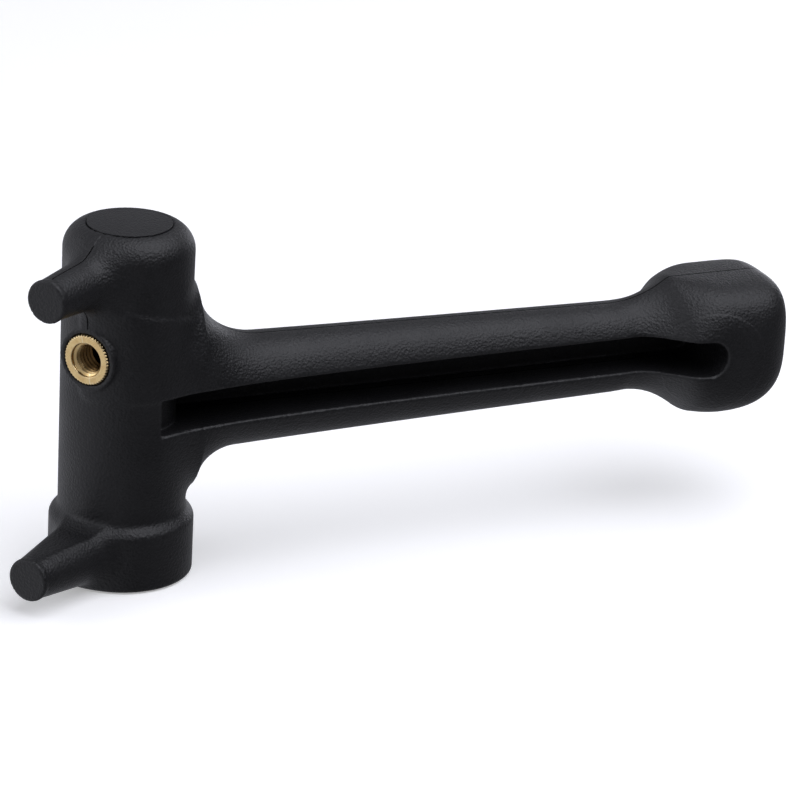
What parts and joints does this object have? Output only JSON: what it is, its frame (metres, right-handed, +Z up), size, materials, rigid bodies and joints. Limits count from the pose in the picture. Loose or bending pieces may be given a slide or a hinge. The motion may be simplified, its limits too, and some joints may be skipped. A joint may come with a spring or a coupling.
{
  "type": "window handle",
  "caption": "Black moulded turning handle for a hinged cab window, with pegs, a brass threaded insert and an inner pivot spindle.",
  "frame": {"origin": "on the hub's axis, in the flat face of the spindle's foot", "axes": "+Z up along the hub's axis, +X from the hub along the arm to the knob"},
  "size_m": [0.2105, 0.0437, 0.0887],
  "materials": {
    "black_nylon": "fine-grained black glass-filled nylon",
    "cap_nylon": "satin black nylon",
    "brass": "turned and knurled brass",
    "bearing_plastic": "natural acetal",
    "zinc_steel": "turned, zinc plated",
    "spring_steel": "phosphated spring steel"
  },
  "bodies": {
    "pivot": {"pivot_spindle": "zinc_steel", "retaining_ring": "spring_steel", "top_washer": "zinc_steel", "foot_washer": "bearing_plastic"},
    "handle": {"handle_body": "black_nylon", "hub_cap": "cap_nylon", "threaded_insert": "brass", "lower_bush": "bearing_plastic", "upper_bush": "bearing_plastic"}
  },
  "joints": [
    {"name": "handle_turn", "type": "hinge", "parent": "pivot", "child": "handle", "pos_m": [0, 0, 0.0445], "axis": [0, 0, 1], "range_deg": [-90, 90]}
  ]
}
